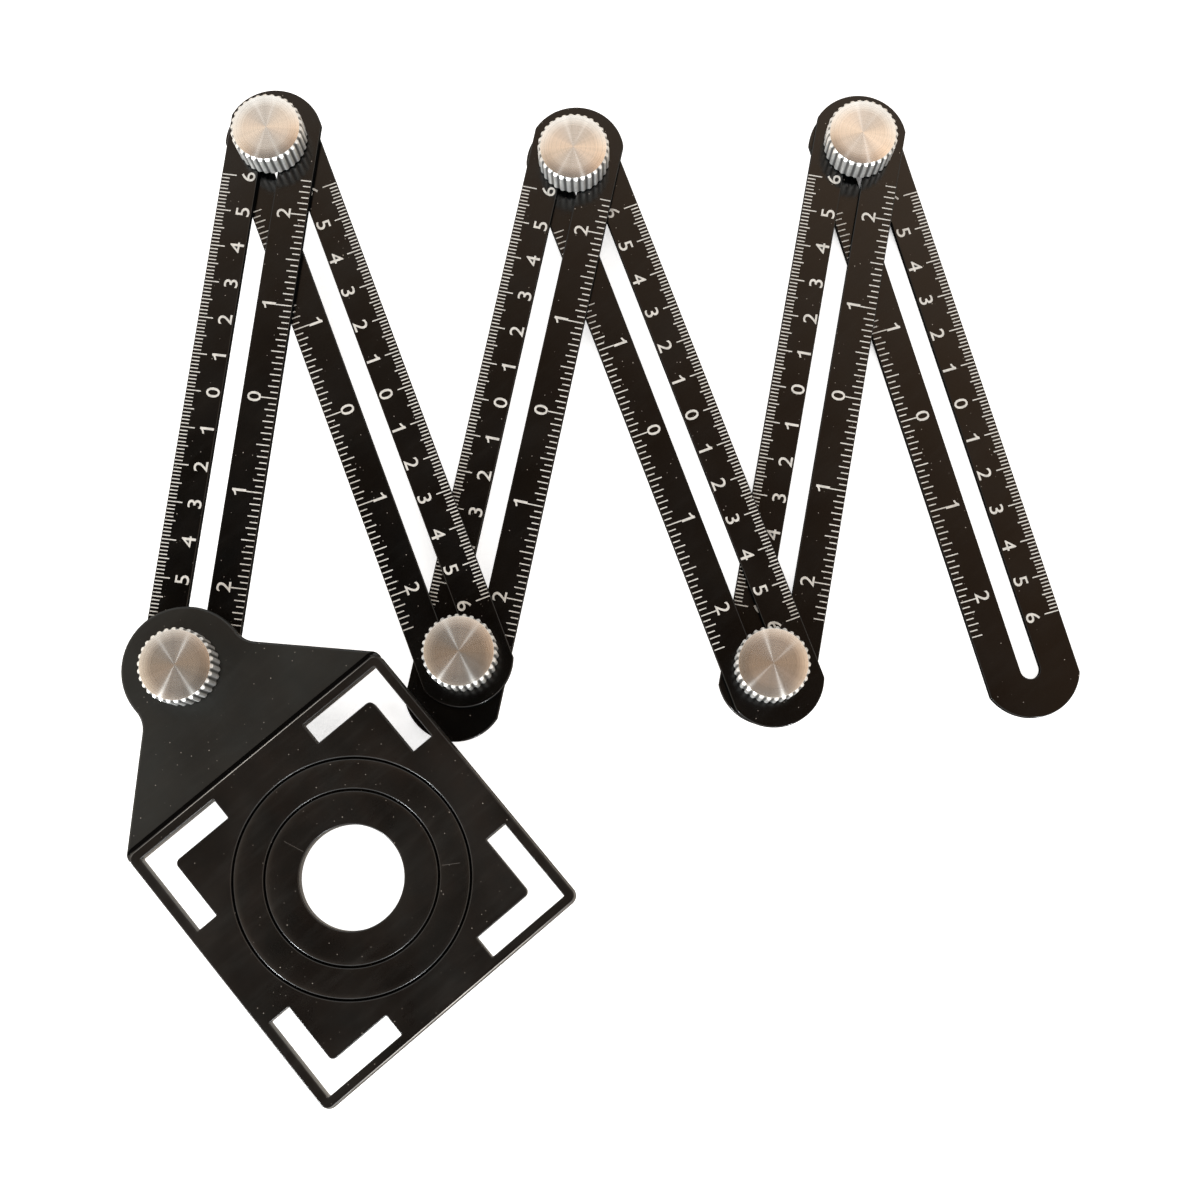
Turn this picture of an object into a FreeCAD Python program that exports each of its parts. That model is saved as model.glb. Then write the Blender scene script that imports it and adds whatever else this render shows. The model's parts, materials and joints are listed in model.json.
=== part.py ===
import FreeCAD, Part
import math
import os
import Sketcher

# A multi-angle folding ruler: six slotted arms, clamped one on the next by thumb nuts, with a
# square guide plate at the free end. Its frame has the guide bore's axis as +Z, the plate's
# underside as the floor of the plate (z = 0) and +Y from the plate towards its bracket.

os.makedirs("parts", exist_ok=True)

# Driving dimensions in millimetres.
size = {
    "arm_length": 175.0,
    "arm_width": 24.3,
    "arm_thickness": 2.0,
    "arm_end_radius": 13.0,
    "arm_edge_bevel": 0.2,
    "slot_width": 5.2,
    "slot_end_margin": 12.7,
    "bolt_diameter": 5.0,
    "bolt_head_diameter": 9.5,
    "bolt_head_height": 1.6,
    "bolt_head_bevel": 0.3,
    "bolt_drive_width": 1.2,
    "bolt_drive_depth": 0.7,
    "bolt_reach": 6.0,
    "washer_diameter": 12.0,
    "washer_thickness": 0.5,
    "washer_bore_gap": 0.1,
    "nut_diameter": 19.0,
    "nut_height": 8.4,
    "nut_crown_bevel": 0.7,
    "nut_foot_bevel": 0.4,
    "nut_bore_gap": 0.05,
    "nut_bore_spare": 1.0,
    "flute_radius": 0.5,
    "flute_depth": 0.45,
    "plate_side": 80.0,
    "plate_thickness": 4.2,
    "plate_corner_radius": 2.5,
    "plate_edge_round": 0.6,
    "bracket_edge_round": 0.6,
    "window_margin": 2.8,
    "window_width": 6.0,
    "window_bridge": 28.6,
    "window_corner_radius": 1.5,
    "bracket_thickness": 3.0,
    "bracket_reach": 68.0,
    "bracket_lug_radius": 16.0,
    "bracket_flare_radius": 7.0,
    "bracket_hole_gap": 0.08,
    "outer_seam_radius": 29.7,
    "inner_seam_radius": 21.8,
    "guide_bore_radius": 13.0,
    "seam_gap": 0.25,
    "seam_bevel": 0.35,
    "ledge_width": 1.25,
    "ledge_height": 1.2,
}
flute_count = 30
window_count = 4
# The bracket's neck, where it runs into the lug, as a share of the lug's radius.
neck_share = 0.75

# The zigzag as it is drawn: each arm's heading in degrees, from its own bolt to the next one, and
# how far each bolt stands short of its end of the slot.
arm_headings = [42.885, -109.427, 37.962, -109.839, 39.34, -113.994]
own_bolt_insets = [4.1, 0.9, 9.4, 0.3, 2.2, 0.8]
next_bolt_insets = [2.0, 0.7, 2.7, 3.0, 2.15]

doc = FreeCAD.newDocument("folding_ruler")
sheet = doc.addObject("Spreadsheet::Sheet", "Sizes")
for row, (name, value) in enumerate(size.items(), start=1):
    sheet.set(f"A{row}", name)
    sheet.set(f"B{row}", str(value))
    sheet.setAlias(f"B{row}", name)
doc.recompute()

# How a sketch numbers a curve's own points, its two axes and its origin.
START, END, CENTRE = range(1, 4)
LEVEL_AXIS, UPRIGHT_AXIS = range(-1, -3, -1)
ORIGIN_POINT = (LEVEL_AXIS, START)
UP = FreeCAD.Vector(0, 0, 1)
# Two places closer than this share of a millimetre are the same.
near = 0.05


def span(**shares):
    """A length made from shares of the named sizes: its number, and the text that binds it."""
    number = sum(share * size[name] for name, share in shares.items())
    text = " + ".join(f"({share}) * Sizes.{name}" for name, share in shares.items())
    return number, text


def new_body(name, x=0.0, y=0.0, z=0.0, heading=0.0):
    body = doc.addObject("PartDesign::Body", name)
    body.Label = name
    body.Placement = FreeCAD.Placement(FreeCAD.Vector(x, y, z), FreeCAD.Rotation(UP, heading))
    return body


def new_sketch(body, name, plane="XY_Plane", height=None):
    """A sketch on one of the body's own origin planes, raised to a bound height if one is given."""
    sketch = body.newObject("Sketcher::SketchObject", name)
    support = next(item for item in body.Origin.OriginFeatures if item.Role == plane)
    sketch.AttachmentSupport = (support, "")
    sketch.MapMode = "FlatFace"
    if height is not None:
        sketch.setExpression("AttachmentOffset.Base.z", height[1])
    return sketch


def tie(sketch, kind, targets, length):
    """Adds a dimension to the sketch and binds it to the sheet."""
    number, text = length
    index = sketch.addConstraint(Sketcher.Constraint(kind, *targets, number))
    label = f"{kind}_{index}"
    sketch.renameConstraint(index, label)
    sketch.setExpression(f"Constraints.{label}", text)


def tie_point(sketch, geometry, point, x, y):
    """Fixes a point at (x, y); None stands for a place on the axis."""
    if x is None:
        sketch.addConstraint(Sketcher.Constraint("PointOnObject", geometry, point, UPRIGHT_AXIS))
    else:
        tie(sketch, "DistanceX", (*ORIGIN_POINT, geometry, point), x)
    if y is None:
        sketch.addConstraint(Sketcher.Constraint("PointOnObject", geometry, point, LEVEL_AXIS))
    else:
        tie(sketch, "DistanceY", (*ORIGIN_POINT, geometry, point), y)


def spot(x, y):
    return FreeCAD.Vector(x[0] if x else 0.0, y[0] if y else 0.0, 0)


def draw_polygon(sketch, corners):
    """A closed outline through corners, each a pair of bound lengths."""
    places = [spot(x, y) for x, y in corners]
    lines = []
    for start, end in zip(places, places[1:] + places[:1]):
        lines.append(sketch.addGeometry(Part.LineSegment(start, end), False))
    for line, following in zip(lines, lines[1:] + lines[:1]):
        sketch.addConstraint(Sketcher.Constraint("Coincident", line, END, following, START))
    for line, (x, y) in zip(lines, corners):
        tie_point(sketch, line, START, x, y)


def draw_circle(sketch, radius, x=None, y=None):
    circle = sketch.addGeometry(Part.Circle(spot(x, y), UP, radius[0]), False)
    tie_point(sketch, circle, CENTRE, x, y)
    tie(sketch, "Radius", (circle,), radius)


def draw_rounded_square(sketch, half_side, radius):
    """A square round the origin: each side is a line, and a tangent arc turns each corner."""
    inset = half_side[0] - radius[0]
    lines, arcs = [], []
    for quarter in range(4):
        turned = FreeCAD.Rotation(UP, 90 * quarter)
        start = turned.multVec(FreeCAD.Vector(half_side[0], -inset, 0))
        end = turned.multVec(FreeCAD.Vector(half_side[0], inset, 0))
        middle = turned.multVec(FreeCAD.Vector(inset, inset, 0))
        swept = math.pi / 2 * quarter
        corner = Part.ArcOfCircle(Part.Circle(middle, UP, radius[0]), swept, swept + math.pi / 2)
        lines.append(sketch.addGeometry(Part.LineSegment(start, end), False))
        arcs.append(sketch.addGeometry(corner, False))
    for line, arc, following in zip(lines, arcs, lines[1:] + lines[:1]):
        sketch.addConstraint(Sketcher.Constraint("Tangent", line, END, arc, START))
        sketch.addConstraint(Sketcher.Constraint("Tangent", arc, END, following, START))
    for quarter, arc in enumerate(arcs):
        if quarter:
            sketch.addConstraint(Sketcher.Constraint("Equal", arcs[0], arc))
        else:
            tie(sketch, "Radius", (arc,), radius)
    right, top, left, bottom = lines
    sketch.addConstraint(Sketcher.Constraint("Vertical", right))
    sketch.addConstraint(Sketcher.Constraint("Horizontal", top))
    tie(sketch, "DistanceX", (*ORIGIN_POINT, right, START), half_side)
    tie(sketch, "DistanceY", (*ORIGIN_POINT, top, START), half_side)
    tie(sketch, "DistanceX", (left, START, *ORIGIN_POINT), half_side)
    tie(sketch, "DistanceY", (bottom, START, *ORIGIN_POINT), half_side)


def draw_strip(sketch, centre_x, radius, half_width, tangent):
    """Two level lines joined by an arc at each end, whose centres lie on the level axis."""
    lean = math.asin(min(1.0, half_width[0] / radius[0]))
    reach = centre_x[0] + radius[0] * math.cos(lean)
    middle = FreeCAD.Vector(centre_x[0], 0, 0)
    high = FreeCAD.Vector(0, half_width[0], 0)
    far = FreeCAD.Vector(reach, 0, 0)
    right_arc = Part.ArcOfCircle(Part.Circle(middle, UP, radius[0]), -lean, lean)
    left_arc = Part.ArcOfCircle(Part.Circle(-middle, UP, radius[0]), math.pi - lean, math.pi + lean)
    right = sketch.addGeometry(right_arc, False)
    top = sketch.addGeometry(Part.LineSegment(far + high, high - far), False)
    left = sketch.addGeometry(left_arc, False)
    bottom = sketch.addGeometry(Part.LineSegment(-far - high, far - high), False)
    joins = "Tangent" if tangent else "Coincident"
    for first, second in ((right, top), (top, left), (left, bottom), (bottom, right)):
        sketch.addConstraint(Sketcher.Constraint(joins, first, END, second, START))
    tie_point(sketch, right, CENTRE, centre_x, None)
    tie_point(sketch, left, CENTRE, (-centre_x[0], f"-({centre_x[1]})"), None)
    tie(sketch, "Radius", (right,), radius)
    sketch.addConstraint(Sketcher.Constraint("Equal", right, left))
    if not tangent:
        sketch.addConstraint(Sketcher.Constraint("Horizontal", top))
        sketch.addConstraint(Sketcher.Constraint("Horizontal", bottom))
        tie(sketch, "DistanceY", (*ORIGIN_POINT, top, START), half_width)
        tie(sketch, "DistanceY", (bottom, START, *ORIGIN_POINT), half_width)


def pad(body, sketch, name, length):
    feature = body.newObject("PartDesign::Pad", name)
    feature.Profile = sketch
    feature.setExpression("Length", length[1])
    doc.recompute()
    return feature


def pocket(body, sketch, name, length=None, upward=False):
    """Cuts downward from the sketch, or upward; a cut without a length goes right through."""
    before = body.Shape.Volume
    feature = body.newObject("PartDesign::Pocket", name)
    feature.Profile = sketch
    feature.Reversed = upward
    if length is None:
        feature.Type = "ThroughAll"
    else:
        feature.setExpression("Length", length[1])
    doc.recompute()
    if feature.Shape.Volume >= before:
        raise ValueError(f"{name} cuts nothing")
    return feature


def edges_where(shape, test):
    return [f"Edge{number}" for number, edge in enumerate(shape.Edges, start=1) if test(edge)]


def upright_at(x, y):
    """Tests for an upright straight edge over the place (x, y)."""
    def test(edge):
        box = edge.BoundBox
        over = math.hypot(box.Center.x - x, box.Center.y - y) < near
        return over and box.XLength + box.YLength < near
    return test


def level_at(z):
    """Tests for an edge that lies at the height z."""
    return lambda edge: abs(edge.BoundBox.ZMin - z) + abs(edge.BoundBox.ZMax - z) < near


def dress(body, kind, name, base, edges, length):
    """Rounds or bevels the named edges of base by a bound length."""
    if not edges:
        raise ValueError(f"{name} finds no edge")
    feature = body.newObject(f"PartDesign::{kind}", name)
    feature.Base = (base, edges)
    feature.setExpression("Radius" if kind == "Fillet" else "Size", length[1])
    doc.recompute()
    return feature


def turn_copies(body, feature, name, count):
    """Repeats a feature evenly round the body's upright axis."""
    axis = next(item for item in body.Origin.OriginFeatures if item.Role == "Z_Axis")
    pattern = body.newObject("PartDesign::PolarPattern", name)
    pattern.Originals = [feature]
    pattern.Axis = (axis, [""])
    pattern.Angle = 360
    pattern.Occurrences = count
    body.Tip = pattern
    doc.recompute()
    return pattern


def make_arm(name, x, y, z, heading):
    """One slotted strip; its +X runs from its own bolt to the next, and z = 0 is its underside."""
    body = new_body(name, x, y, z, heading)
    outline = new_sketch(body, f"{name}_outline")
    end_centre = span(arm_length=0.5, arm_end_radius=-1)
    draw_strip(outline, end_centre, span(arm_end_radius=1), span(arm_width=0.5), tangent=False)
    strip = pad(body, outline, f"{name}_strip", span(arm_thickness=1))
    slot = new_sketch(body, f"{name}_slot", height=span(arm_thickness=1))
    slot_centre = span(arm_length=0.5, slot_end_margin=-1)
    half_slot = span(slot_width=0.5)
    draw_strip(slot, slot_centre, half_slot, half_slot, tangent=True)
    cut = pocket(body, slot, f"{name}_slot_cut")
    top_edges = edges_where(cut.Shape, level_at(size["arm_thickness"]))
    dress(body, "Chamfer", f"{name}_bevel", cut, top_edges, span(arm_edge_bevel=1))
    return body


def make_bolt(name, x, y, z, clamped):
    """A round-necked slot bolt; z = 0 is where its head meets the lower member's underside."""
    body = new_body(name, x, y, z)
    head_sketch = new_sketch(body, f"{name}_head_circle", height=span(bolt_head_height=-1))
    draw_circle(head_sketch, span(bolt_head_diameter=0.5))
    head = pad(body, head_sketch, f"{name}_head", span(bolt_head_height=1))
    foot_edges = edges_where(head.Shape, level_at(-size["bolt_head_height"]))
    dress(body, "Chamfer", f"{name}_head_bevel", head, foot_edges, span(bolt_head_bevel=1))
    shank_sketch = new_sketch(body, f"{name}_shank_circle")
    draw_circle(shank_sketch, span(bolt_diameter=0.5))
    pad(body, shank_sketch, f"{name}_shank", span(bolt_reach=1, washer_thickness=1, **clamped))
    drive = new_sketch(body, f"{name}_drive_outline", height=span(bolt_head_height=-1))
    right = span(bolt_head_diameter=1)
    left = span(bolt_head_diameter=-1)
    back = span(bolt_drive_width=0.5)
    front = span(bolt_drive_width=-0.5)
    draw_polygon(drive, [(left, front), (right, front), (right, back), (left, back)])
    pocket(body, drive, f"{name}_drive", span(bolt_drive_depth=1), upward=True)
    return body


def make_washer(name, x, y, z):
    body = new_body(name, x, y, z)
    outline = new_sketch(body, f"{name}_outline")
    draw_circle(outline, span(washer_diameter=0.5))
    draw_circle(outline, span(bolt_diameter=0.5, washer_bore_gap=1))
    pad(body, outline, f"{name}_disc", span(washer_thickness=1))
    return body


def make_nut(name, x, y, z):
    """A fluted thumb nut with a closed crown; z = 0 is its foot, on the washer."""
    body = new_body(name, x, y, z)
    outline = new_sketch(body, f"{name}_outline")
    draw_circle(outline, span(nut_diameter=0.5))
    barrel = pad(body, outline, f"{name}_barrel", span(nut_height=1))
    crown_edges = edges_where(barrel.Shape, level_at(size["nut_height"]))
    crown = dress(body, "Chamfer", f"{name}_crown", barrel, crown_edges, span(nut_crown_bevel=1))
    foot_edges = edges_where(crown.Shape, level_at(0.0))
    dress(body, "Chamfer", f"{name}_foot", crown, foot_edges, span(nut_foot_bevel=1))
    bore = new_sketch(body, f"{name}_bore_circle")
    draw_circle(bore, span(bolt_diameter=0.5, nut_bore_gap=1))
    pocket(body, bore, f"{name}_bore", span(bolt_reach=1, nut_bore_spare=1), upward=True)
    flute = new_sketch(body, f"{name}_flute_circle", height=span(nut_height=1))
    flute_place = span(nut_diameter=0.5, flute_radius=1, flute_depth=-1)
    draw_circle(flute, span(flute_radius=1), flute_place)
    groove = pocket(body, flute, f"{name}_flute")
    turn_copies(body, groove, f"{name}_flutes", flute_count)
    return body


def make_guide_plate(name):
    """The square guide plate and, in one piece with it, the lower bracket that carries it."""
    body = new_body(name)
    # The bracket narrows from the plate's corners into the round lug.
    east, west = span(plate_side=0.5), span(plate_side=-0.5)
    half = size["plate_side"] / 2
    web = new_sketch(body, "bracket_web_outline")
    shoulder = span(bracket_reach=1)
    neck_east = span(bracket_lug_radius=neck_share)
    neck_west = span(bracket_lug_radius=-neck_share)
    root = span(plate_side=0.5, window_margin=-1)
    draw_polygon(web, [
        (west, root), (east, root), (east, east),
        (neck_east, shoulder), (neck_west, shoulder), (west, east),
    ])
    pad(body, web, "bracket_web", span(bracket_thickness=1))
    lug_circle = new_sketch(body, "bracket_lug_circle")
    draw_circle(lug_circle, span(bracket_lug_radius=1), y=shoulder)
    lug = pad(body, lug_circle, "bracket_lug", span(bracket_thickness=1))
    # A gusset line runs back from the neck and meets the lug circle at the root of a square.
    back = FreeCAD.Vector(half - neck_east[0], half - shoulder[0], 0).normalize()
    along = neck_east[0] * back.x
    spare = size["bracket_lug_radius"] ** 2 - neck_east[0] ** 2
    meet = math.sqrt(along ** 2 + spare) - along
    meet_x = neck_east[0] + meet * back.x
    meet_y = shoulder[0] + meet * back.y
    flare_edges = [
        name for x in (-meet_x, meet_x) for name in edges_where(lug.Shape, upright_at(x, meet_y))
    ]
    flared = dress(body, "Fillet", "bracket_flares", lug, flare_edges, span(bracket_flare_radius=1))
    shoulder_edges = [
        name for x in (-half, half) for name in edges_where(flared.Shape, upright_at(x, half))
    ]
    cornered = dress(
        body, "Fillet", "bracket_corners", flared, shoulder_edges, span(plate_corner_radius=1)
    )
    deck_edges = edges_where(cornered.Shape, level_at(size["bracket_thickness"]))
    dress(body, "Fillet", "bracket_rim", cornered, deck_edges, span(bracket_edge_round=1))

    # The plate stands thicker than the bracket, which it swallows at the root.
    square = new_sketch(body, "plate_square")
    draw_rounded_square(square, east, span(plate_corner_radius=1))
    slab = pad(body, square, "plate_slab", span(plate_thickness=1))
    rim_edges = edges_where(slab.Shape, level_at(size["plate_thickness"]))
    dress(body, "Fillet", "plate_rim", slab, rim_edges, span(plate_edge_round=1))
    lug_hole = new_sketch(body, "bracket_hole_circle", height=span(bracket_thickness=1))
    draw_circle(lug_hole, span(bolt_diameter=0.5, bracket_hole_gap=1), y=shoulder)
    pocket(body, lug_hole, "bracket_hole")

    # Four L-shaped windows, one in each corner of the plate.
    outer = span(plate_side=0.5, window_margin=-1)
    inner = span(plate_side=0.5, window_margin=-1, window_width=-1)
    end = span(window_bridge=0.5)
    window = new_sketch(body, "window_outline", height=span(plate_thickness=1))
    draw_polygon(window, [
        (end, inner), (inner, inner), (inner, end), (outer, end), (outer, outer), (end, outer),
    ])
    first_window = pocket(body, window, "window")
    windows = turn_copies(body, first_window, "windows", window_count)
    bend = inner[0]
    bends = [(x, y) for x in (-bend, bend) for y in (-bend, bend)]
    bend_edges = [name for x, y in bends for name in edges_where(windows.Shape, upright_at(x, y))]
    dress(body, "Fillet", "window_bends", windows, bend_edges, span(window_corner_radius=1))

    # The stepped seat of the outer ring.
    seat = new_sketch(body, "seat_circle", height=span(ledge_height=1))
    draw_circle(seat, span(outer_seam_radius=1))
    pocket(body, seat, "seat", span(plate_thickness=1), upward=True)
    throat = new_sketch(body, "throat_circle", height=span(plate_thickness=1))
    draw_circle(throat, span(outer_seam_radius=1, ledge_width=-1))
    opened = pocket(body, throat, "throat")
    dress(body, "Chamfer", "seat_bevel", opened, seam_edges(opened.Shape, ["outer_seam_radius"]),
          span(seam_bevel=1))
    return body


def seam_edges(shape, radius_names, gaps=(0.0,)):
    """The round edges in the plate's top face that have one of the named radii, less a gap."""
    radii = [size[name] - gap for name, gap in zip(radius_names, (*gaps, 0.0))]

    def test(edge):
        round_edge = isinstance(edge.Curve, Part.Circle)
        top = level_at(size["plate_thickness"])(edge)
        return round_edge and top and any(abs(edge.Curve.Radius - radius) < near for radius in radii)
    return edges_where(shape, test)


def make_ring(name, outer_name, inner_name, has_seat):
    """A ring of the guide plate, stepped to hang on the ledge round it, and to carry the next one."""
    body = new_body(name)
    section = new_sketch(body, f"{name}_section", plane="XZ_Plane")
    foot, ledge, top = None, span(ledge_height=1), span(plate_thickness=1)
    rim = span(**{outer_name: 1}, seam_gap=-1)
    skirt = span(**{outer_name: 1}, ledge_width=-1, seam_gap=-1)
    bore = span(**{inner_name: 1})
    corners = [(skirt, foot), (skirt, ledge), (rim, ledge), (rim, top), (bore, top)]
    if has_seat:
        throat = span(**{inner_name: 1}, ledge_width=-1)
        corners += [(bore, ledge), (throat, ledge), (throat, foot)]
    else:
        corners += [(bore, foot)]
    draw_polygon(section, corners)
    ring = body.newObject("PartDesign::Revolution", f"{name}_turned")
    ring.Profile = section
    ring.ReferenceAxis = (section, ["V_Axis"])
    ring.Angle = 360
    doc.recompute()
    edges = seam_edges(ring.Shape, [outer_name, inner_name], gaps=(size["seam_gap"],))
    dress(body, "Chamfer", f"{name}_bevel", ring, edges, span(seam_bevel=1))
    return body


bodies = [
    make_guide_plate("guide_plate"),
    make_ring("outer_ring", "outer_seam_radius", "inner_seam_radius", has_seat=True),
    make_ring("inner_ring", "inner_seam_radius", "guide_bore_radius", has_seat=False),
]

# Each arm lies one thickness below the last; joint 1 clamps the bracket on the first arm.
slot_reach = size["arm_length"] / 2 - size["slot_end_margin"]
joint_x, joint_y = 0.0, size["bracket_reach"]
for number, (heading, own_inset) in enumerate(zip(arm_headings, own_bolt_insets), start=1):
    underside = -number * size["arm_thickness"]
    along_x, along_y = math.cos(math.radians(heading)), math.sin(math.radians(heading))
    middle_x = joint_x + (slot_reach - own_inset) * along_x
    middle_y = joint_y + (slot_reach - own_inset) * along_y
    upper_name = "bracket_thickness" if number == 1 else "arm_thickness"
    if number == 1:
        clamped = {"arm_thickness": 1, "bracket_thickness": 1}
    else:
        clamped = {"arm_thickness": 2}
    washer_foot = underside + size["arm_thickness"] + size[upper_name]
    nut_foot = washer_foot + size["washer_thickness"]
    bodies.append(make_arm(f"ruler_arm_{number}", middle_x, middle_y, underside, heading))
    bodies.append(make_bolt(f"slot_bolt_{number}", joint_x, joint_y, underside, clamped))
    bodies.append(make_washer(f"washer_{number}", joint_x, joint_y, washer_foot))
    bodies.append(make_nut(f"thumb_nut_{number}", joint_x, joint_y, nut_foot))
    if number < len(arm_headings):
        next_reach = slot_reach - next_bolt_insets[number - 1]
        joint_x = middle_x + next_reach * along_x
        joint_y = middle_y + next_reach * along_y

doc.recompute()
for item in doc.Objects:
    if "Invalid" in item.State or "Error" in item.State:
        raise ValueError(f"{item.Label} failed")
for body in bodies:
    if body.Shape.isNull() or not body.Shape.isValid():
        raise ValueError(f"{body.Label} has no valid shape")
for body in bodies:
    body.Shape.exportStep(f"parts/{body.Label}.step")
    box = body.Shape.BoundBox
    print(f"{body.Label}: {len(body.Shape.Solids)} solid, volume {body.Shape.Volume:.1f}, "
          f"x {box.XMin:.2f} to {box.XMax:.2f}, y {box.YMin:.2f} to {box.YMax:.2f}, "
          f"z {box.ZMin:.2f} to {box.ZMax:.2f}")
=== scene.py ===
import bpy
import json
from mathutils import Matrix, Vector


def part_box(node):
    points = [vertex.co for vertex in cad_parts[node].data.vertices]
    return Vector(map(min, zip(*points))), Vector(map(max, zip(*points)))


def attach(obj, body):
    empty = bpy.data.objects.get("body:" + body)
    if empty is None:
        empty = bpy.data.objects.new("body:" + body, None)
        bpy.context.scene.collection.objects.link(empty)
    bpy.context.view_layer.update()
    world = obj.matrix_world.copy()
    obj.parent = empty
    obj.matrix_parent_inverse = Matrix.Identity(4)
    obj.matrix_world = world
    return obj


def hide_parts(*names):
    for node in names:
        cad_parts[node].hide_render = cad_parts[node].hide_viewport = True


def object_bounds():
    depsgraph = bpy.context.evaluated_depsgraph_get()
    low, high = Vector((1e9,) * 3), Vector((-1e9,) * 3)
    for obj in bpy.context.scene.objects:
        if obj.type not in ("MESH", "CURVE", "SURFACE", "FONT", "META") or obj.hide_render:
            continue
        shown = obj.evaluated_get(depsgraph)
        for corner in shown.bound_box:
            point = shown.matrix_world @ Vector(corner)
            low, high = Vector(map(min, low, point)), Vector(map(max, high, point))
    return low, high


bl_info = {
    "name": "Folding Ruler Dresser",
    "version": (1, 0, 0),
    "blender": (4, 5, 0),
    "location": "3D View > Sidebar > Folding Ruler",
    "description": "Builds the visible pieces, finishes and studio of a multi-angle folding ruler",
    "category": "Object",
}

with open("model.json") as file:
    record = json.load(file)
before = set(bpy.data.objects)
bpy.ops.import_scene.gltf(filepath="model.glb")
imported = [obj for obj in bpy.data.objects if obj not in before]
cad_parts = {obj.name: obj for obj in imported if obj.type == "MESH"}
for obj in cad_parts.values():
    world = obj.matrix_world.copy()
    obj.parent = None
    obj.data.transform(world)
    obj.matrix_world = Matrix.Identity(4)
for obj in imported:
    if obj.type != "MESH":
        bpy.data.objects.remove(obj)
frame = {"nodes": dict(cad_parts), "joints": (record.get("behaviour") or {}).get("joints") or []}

import json
import math
from contextlib import contextmanager

import bmesh
import bpy
import numpy as np
from bpy.props import FloatProperty, FloatVectorProperty, IntProperty, PointerProperty
from mathutils import Vector

CAD_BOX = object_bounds()
MM = 0.001
INCH = 25.4 * MM
ARM_COUNT = 6
JOINTS = {joint["name"]: joint for joint in frame["joints"]}

# The visible undersides stand this far above the solids' own, so that the ink below has room.
INK_ROOM = 0.03 * MM
# The bracket's underside stands this much higher still, so that it isn't in one plane with the plate's.
BRACKET_RISE = 0.04 * MM

# How many millimetres and sixteenths of an inch each scale runs to either side of its zero.
METRIC_REACH, INCH_REACH = 60, 38
# A tick's length is the first whose step divides its number.
METRIC_TICKS = ((10, "centimetre_tick"), (5, "half_tick"), (1, "millimetre_tick"))
INCH_TICKS = ((16, "inch_tick"), (8, "half_inch_tick"), (2, "eighth_tick"), (1, "sixteenth_tick"))

# The figure one with its flag, one unit tall.
ONE_OUTLINE = np.array([(-0.03, 0.0), (0.12, 0.0), (0.12, 1.0), (-0.01, 1.0), (-0.05, 0.91), (-0.14, 0.83),
                        (-0.28, 0.78), (-0.28, 0.65), (-0.13, 0.70), (-0.03, 0.76)])
BOX_CORNERS = np.array([[x, y, z] for x in (-0.5, 0.5) for y in (0.0, 1.0) for z in (-0.5, 0.5)])
BOX_FACES = [[0, 1, 3, 2], [4, 6, 7, 5], [0, 4, 5, 1], [2, 3, 7, 6], [0, 2, 6, 4], [1, 5, 7, 3]]

# The room's colour at each height of the direction it is seen in, from level (0) to overhead (1).
ROOM_COLOURS = (
    (0.0, (0.34, 0.34, 0.34)),
    (0.35, (0.42, 0.41, 0.40)),
    (0.52, (0.92, 0.94, 0.95)),
    (0.70, (0.90, 0.94, 0.96)),
    (0.80, (0.88, 0.86, 0.82)),
    (0.90, (0.78, 0.585, 0.43)),
    (0.96, (0.37, 0.235, 0.15)),
    (1.0, (0.14, 0.10, 0.07)),
)
# The tint that the room takes across the window's line, and the lamps' own colour.
ACROSS_TINT = (1.0, 0.88, 0.76)
DAYLIGHT = (0.92, 0.97, 1.0)
WHITE = (1.0, 1.0, 1.0)
# The floor's own colour, and its colour in gloss.
FLOOR_MATT = (0.8, 0.8, 0.8)
FLOOR_IN_GLOSS = (0.88, 0.82, 0.74)
# How far the floor lies under the lowest bolt head, and half its width in metres.
FLOOR_DROP = 0.05 * MM
FLOOR_HALF = 3.0
# The dust and the smeared film on the blacks.
DUST = (0.42, 0.38, 0.34)
FILM = (0.4, 0.4, 0.38)


def mm(name, description, millimetres):
    """A length, written in millimetres."""
    return FloatProperty(name=name, description=description, default=millimetres * MM,
                         subtype="DISTANCE", unit="LENGTH", precision=5)


def amount(name, description, default):
    return FloatProperty(name=name, description=description, default=default)


def degrees(name, description, angle):
    """An angle, written in degrees."""
    return FloatProperty(name=name, description=description, default=math.radians(angle), subtype="ANGLE")


def metres(name, description, default):
    """A place (x, y, z), written in metres."""
    return FloatVectorProperty(name=name, description=description, default=default, subtype="TRANSLATION",
                               unit="LENGTH", precision=5)


def paint(name, description, colour):
    return FloatVectorProperty(name=name, description=description, default=colour,
                               subtype="COLOR", size=3, min=0.0, max=1.0)


class ArmSettings(bpy.types.PropertyGroup):
    """Sizes of one slotted strip."""
    length: mm("Length", "From end to end", 175.0)
    width: mm("Width", "Across the strip", 24.3)
    thickness: mm("Thickness", "Of the sheet", 2.0)
    end_radius: mm("End radius", "Of each rounded end", 13.0)
    corner_radius: mm("Corner radius", "Where the end meets the long edge", 0.6)
    edge_round: mm("Edge round", "Of the top and bottom edges", 0.22)
    slot_width: mm("Slot width", "Across the long slot", 5.2)
    slot_margin: mm("Slot margin", "From the strip's end to the slot end's centre", 12.7)


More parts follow.
